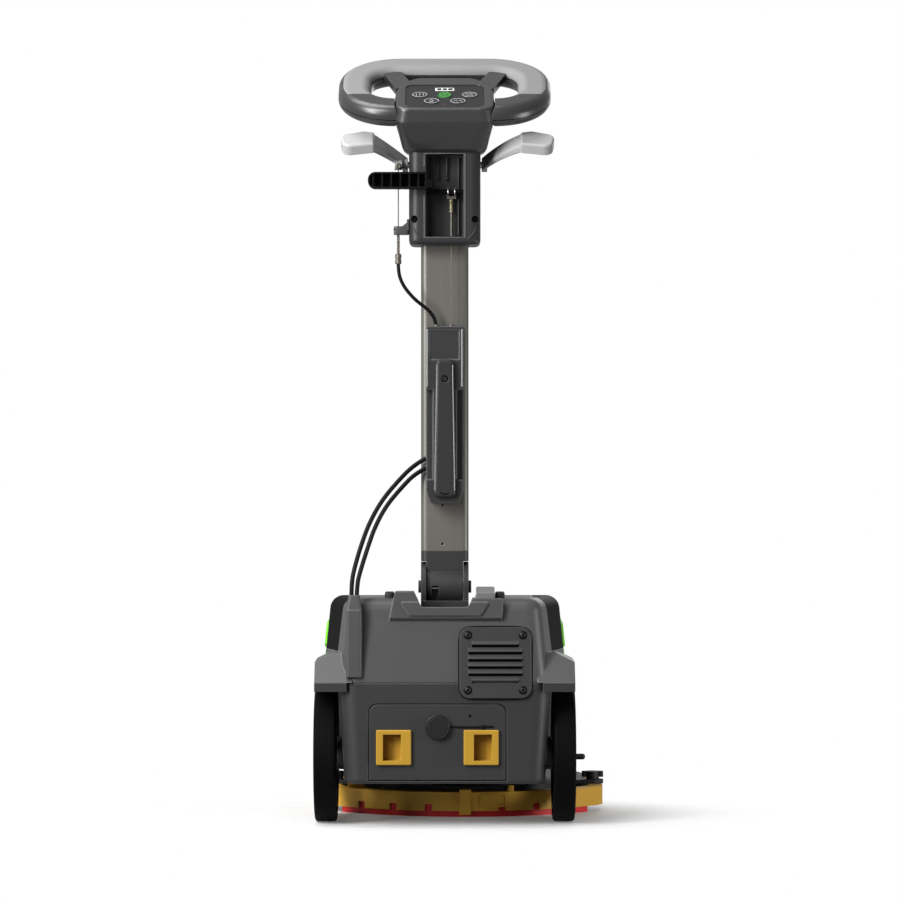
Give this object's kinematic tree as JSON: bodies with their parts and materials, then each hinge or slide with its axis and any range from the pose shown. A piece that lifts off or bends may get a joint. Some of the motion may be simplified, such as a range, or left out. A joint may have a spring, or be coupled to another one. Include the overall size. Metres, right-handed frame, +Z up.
{
  "type": "floor scrubber",
  "caption": "Compact walk-behind floor scrubber with a round brush in a squeegee ring, rear wheels, drawer battery, and a tilting column with a steering loop and console.",
  "frame": {"origin": "centre of the brush on the floor", "axes": "+X to the operator's right, +Y forward, +Z up, along the upright column"},
  "size_m": [0.4315, 0.5974, 1.126],
  "materials": {
    "body_grey": "textured",
    "body_black": "satin",
    "column_grey": "satin",
    "pad_grey": "matte",
    "paddle_grey": "satin",
    "squeegee_yellow": "satin",
    "tank_green": "satin",
    "steel": "satin",
    "tyre_black": "matte",
    "cable_black": "satin",
    "blade_rubber": "satin",
    "bristle_nylon": "matte",
    "panel_black": "gloss",
    "key_green": "satin",
    "key_grey": "satin",
    "motor_paint": "satin"
  },
  "bodies": {
    "carriage": {"chassis_tub": "body_grey", "rear_cover": "body_grey", "side_band_left": "body_black", "side_band_right": "body_black", "vent_grille": "body_grey", "cable_duct": "body_grey", "column_foot": "column_grey", "pivot_pin": "steel", "column_stand": "column_grey", "stub_axles": "steel", "brush_deck": "body_black", "squeegee_frame": "squeegee_yellow", "rear_blade": "blade_rubber", "front_blade": "blade_rubber", "blade_clip": "squeegee_yellow", "brush_motor": "motor_paint", "suction_motor": "motor_paint", "solution_tank": "body_black", "lead_a": "cable_black", "lead_b": "cable_black"},
    "column": {"column_knuckle": "column_grey", "column_tube": "column_grey", "junction_box": "body_grey", "junction_cover": "body_grey", "neck": "body_grey", "handle_lower_shell": "body_grey", "handle_upper_shell": "body_grey", "grip_pad": "pad_grey", "control_panel": "panel_black", "cable_bracket": "steel", "bowden_sheath": "cable_black"},
    "wheel_left": {"tyre_left": "tyre_black", "rim_left": "body_black"},
    "wheel_right": {"tyre_right": "tyre_black", "rim_right": "body_black"},
    "brush": {"brush_bristles": "bristle_nylon", "brush_driver": "body_black"},
    "paddles": {"paddle_shaft": "steel", "paddle_left": "paddle_grey", "paddle_right": "paddle_grey"},
    "paddle_wire": {"paddle_wire": "steel"},
    "release_lever": {"release_lever": "body_black"},
    "release_rod": {"release_rod": "steel"},
    "battery": {"battery_pack": "body_grey", "cap_strap": "cable_black"},
    "latch_left": {"latch_left": "squeegee_yellow"},
    "latch_right": {"latch_right": "squeegee_yellow"},
    "charge_cap": {"charge_cap": "cable_black"},
    "tank": {"recovery_tank": "tank_green"},
    "tank_lid": {"tank_lid": "body_black"},
    "tank_button": {"tank_button": "paddle_grey"},
    "knob_left": {"knob_left": "body_black"},
    "knob_right": {"knob_right": "body_black"},
    "drain_plug": {"drain_plug": "body_black"},
    "filler_cap": {"filler_cap": "body_black"},
    "key_power": {"key_power": "key_green"},
    "key_brush": {"key_brush": "key_grey"},
    "key_suction": {"key_suction": "key_grey"},
    "key_water": {"key_water": "key_grey"},
    "key_speed": {"key_speed": "key_grey"}
  },
  "joints": [
    {"name": "column_tilt", "type": "hinge", "parent": "carriage", "child": "column", "pos_m": [-0.03, -0.285, 0.345], "axis": [1, 0, 0], "range_deg": [0, 60], "deforming": ["lead_a", "lead_b"]},
    {"name": "wheel_left_spin", "type": "hinge", "parent": "carriage", "child": "wheel_left", "pos_m": [-0.204, -0.265, 0.1], "axis": [1, 0, 0], "continuous": true},
    {"name": "wheel_right_spin", "type": "hinge", "parent": "carriage", "child": "wheel_right", "pos_m": [0.144, -0.265, 0.1], "axis": [1, 0, 0], "continuous": true},
    {"name": "brush_spin", "type": "hinge", "parent": "carriage", "child": "brush", "pos_m": [0, 0, 0.026], "axis": [0, 0, 1], "continuous": true},
    {"name": "paddle_squeeze", "type": "hinge", "parent": "column", "child": "paddles", "pos_m": [-0.03, -0.285, 0.962], "axis": [-1, 0, 0], "range_deg": [0, 18], "stiffness_Nm_per_rad": 6, "springref_deg": -11.46},
    {"name": "paddle_wire_pull", "type": "slide", "parent": "column", "child": "paddle_wire", "axis": [0, 0, 1], "range_m": [0, 0.0127]},
    {"name": "lever_press", "type": "hinge", "parent": "column", "child": "release_lever", "pos_m": [-0.03, -0.327, 0.92], "axis": [1, 0, 0], "range_deg": [0, 25], "stiffness_Nm_per_rad": 1, "springref_deg": -17.19},
    {"name": "rod_lift", "type": "slide", "parent": "column", "child": "release_rod", "axis": [0, 0, 1], "range_m": [0, 0.0045], "stiffness_N_per_m": 2, "springref_m": 0.092},
    {"name": "battery_slide", "type": "slide", "parent": "carriage", "child": "battery", "axis": [0, -1, 0], "range_m": [0, 0.2]},
    {"name": "latch_left_slide", "type": "slide", "parent": "battery", "child": "latch_left", "axis": [1, 0, 0], "range_m": [0, 0.008], "stiffness_N_per_m": 400, "springref_m": -0.004},
    {"name": "latch_right_slide", "type": "slide", "parent": "battery", "child": "latch_right", "axis": [-1, 0, 0], "range_m": [0, 0.008], "stiffness_N_per_m": 400, "springref_m": -0.004},
    {"name": "charge_cap_pull", "type": "slide", "parent": "battery", "child": "charge_cap", "axis": [0, -1, 0], "range_m": [0, 0.014], "deforming": ["cap_strap"]},
    {"name": "tank_lift", "type": "slide", "parent": "carriage", "child": "tank", "axis": [0, 0, 1], "range_m": [0, 0.08]},
    {"name": "tank_lid_open", "type": "hinge", "parent": "tank", "child": "tank_lid", "pos_m": [-0.03, 0.07036, 0.28745], "axis": [-1, 0, 0], "range_deg": [0, 75]},
    {"name": "tank_button_push", "type": "slide", "parent": "carriage", "child": "tank_button", "axis": [0, 1, 0], "range_m": [0, 0.005], "stiffness_N_per_m": 500, "springref_m": -0.003},
    {"name": "knob_left_turn", "type": "hinge", "parent": "carriage", "child": "knob_left", "pos_m": [-0.195, -0.065, 0.044], "axis": [0, 0, 1], "range_deg": [0, 180]},
    {"name": "knob_right_turn", "type": "hinge", "parent": "carriage", "child": "knob_right", "pos_m": [0.195, -0.065, 0.044], "axis": [0, 0, 1], "range_deg": [0, 180]},
    {"name": "drain_plug_pull", "type": "slide", "parent": "carriage", "child": "drain_plug", "axis": [1, 0, 0], "range_m": [0, 0.03]},
    {"name": "filler_cap_turn", "type": "hinge", "parent": "carriage", "child": "filler_cap", "pos_m": [-0.03, 0.135, 0.16], "axis": [0, 1, 0], "range_deg": [0, 120]},
    {"name": "key_power_press", "type": "slide", "parent": "column", "child": "key_power", "axis": [0, 0.4695, -0.8829], "range_m": [0, 0.0008], "stiffness_N_per_m": 900, "springref_m": -0.0003},
    {"name": "key_brush_press", "type": "slide", "parent": "column", "child": "key_brush", "axis": [0, 0.4695, -0.8829], "range_m": [0, 0.0008], "stiffness_N_per_m": 900, "springref_m": -0.0003},
    {"name": "key_suction_press", "type": "slide", "parent": "column", "child": "key_suction", "axis": [0, 0.4695, -0.8829], "range_m": [0, 0.0008], "stiffness_N_per_m": 900, "springref_m": -0.0003},
    {"name": "key_water_press", "type": "slide", "parent": "column", "child": "key_water", "axis": [0, 0.4695, -0.8829], "range_m": [0, 0.0008], "stiffness_N_per_m": 900, "springref_m": -0.0003},
    {"name": "key_speed_press", "type": "slide", "parent": "column", "child": "key_speed", "axis": [0, 0.4695, -0.8829], "range_m": [0, 0.0008], "stiffness_N_per_m": 900, "springref_m": -0.0003}
  ],
  "couplings": [
    {"joint": "paddle_wire_pull", "follows": "paddle_squeeze", "m_per_rad": 0.04},
    {"joint": "rod_lift", "follows": "lever_press", "m_per_rad": 0.01}
  ]
}
